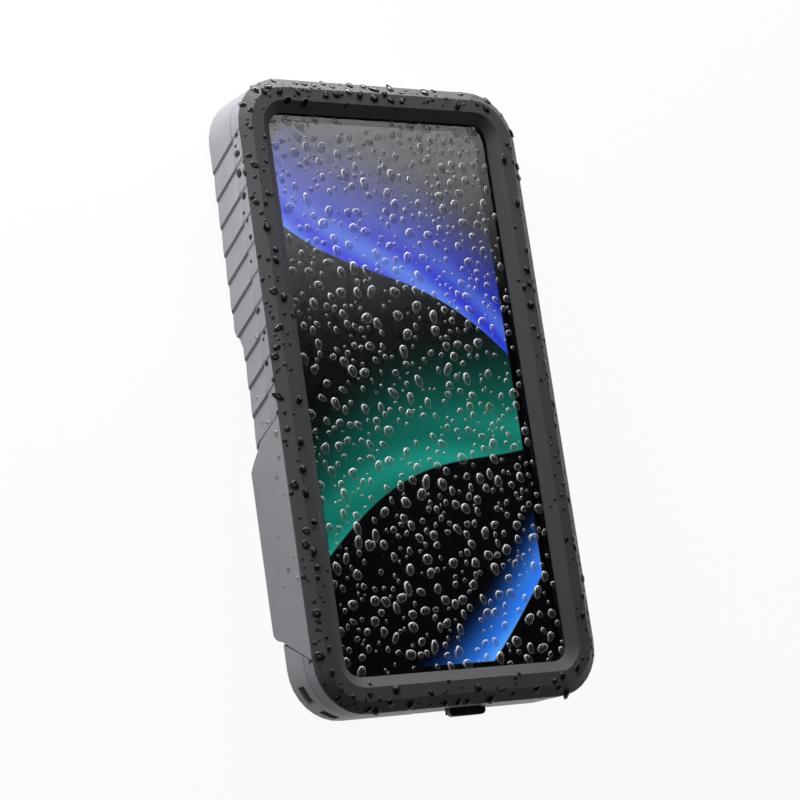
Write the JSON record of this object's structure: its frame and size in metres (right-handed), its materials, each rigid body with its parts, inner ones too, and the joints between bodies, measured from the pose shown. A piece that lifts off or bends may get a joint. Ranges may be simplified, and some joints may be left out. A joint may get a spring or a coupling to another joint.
{
  "type": "waterproof phone case",
  "caption": "Rigid waterproof phone case: hinged front frame with a clear window, deep ribbed rear shell, long side clasp and a rubber port flap.",
  "frame": {"origin": "middle of the footprint, on the surface that the case lies on", "axes": "+Y along the case towards the top end of the phone, +Z out of the window, +X towards the hinge side"},
  "size_m": [0.0986, 0.1834, 0.0211],
  "materials": {
    "shell_plastic": "satin grey moulded plastic",
    "frame_plastic": "satin charcoal moulded plastic",
    "clear_window": "clear hard-coated plastic",
    "black_rubber": "smooth black rubber",
    "steel": "stainless steel",
    "foam": "closed-cell foam",
    "phone_metal": "dark anodised",
    "phone_glass": "lit display under glass"
  },
  "bodies": {
    "shell": {"rear_shell": "shell_plastic", "mount_plate": "frame_plastic", "mount_screw_1": "steel", "mount_screw_2": "steel", "mount_screw_3": "steel", "mount_screw_4": "steel", "rim_gasket": "black_rubber", "hinge_pin_upper": "steel", "hinge_pin_lower": "steel", "clasp_pin": "steel", "flap_pin": "steel", "back_foam": "foam", "hump_foam": "foam", "side_pad_left_upper": "foam", "side_pad_left_lower": "foam", "side_pad_right_upper": "foam", "side_pad_right_lower": "foam", "top_pad_left": "foam", "top_pad_right": "foam", "phone_body": "phone_metal", "phone_display": "phone_glass"},
    "frame": {"front_frame": "frame_plastic", "window_panel": "clear_window", "window_retainer": "frame_plastic"},
    "clasp": {"side_clasp": "shell_plastic"},
    "flap": {"port_flap": "shell_plastic", "port_seal": "black_rubber"}
  },
  "joints": [
    {"name": "frame_hinge", "type": "hinge", "parent": "shell", "child": "frame", "pos_m": [0.0471, 0.0012, 0.01445], "axis": [0, 1, 0], "range_deg": [0, 170]},
    {"name": "clasp_hinge", "type": "hinge", "parent": "shell", "child": "clasp", "pos_m": [-0.0461, -0.0408, 0.00245], "axis": [0, -1, 0], "range_deg": [0, 100]},
    {"name": "flap_hinge", "type": "hinge", "parent": "shell", "child": "flap", "pos_m": [0.0023, -0.088, 0.0062], "axis": [1, 0, 0], "range_deg": [0, 110]}
  ]
}
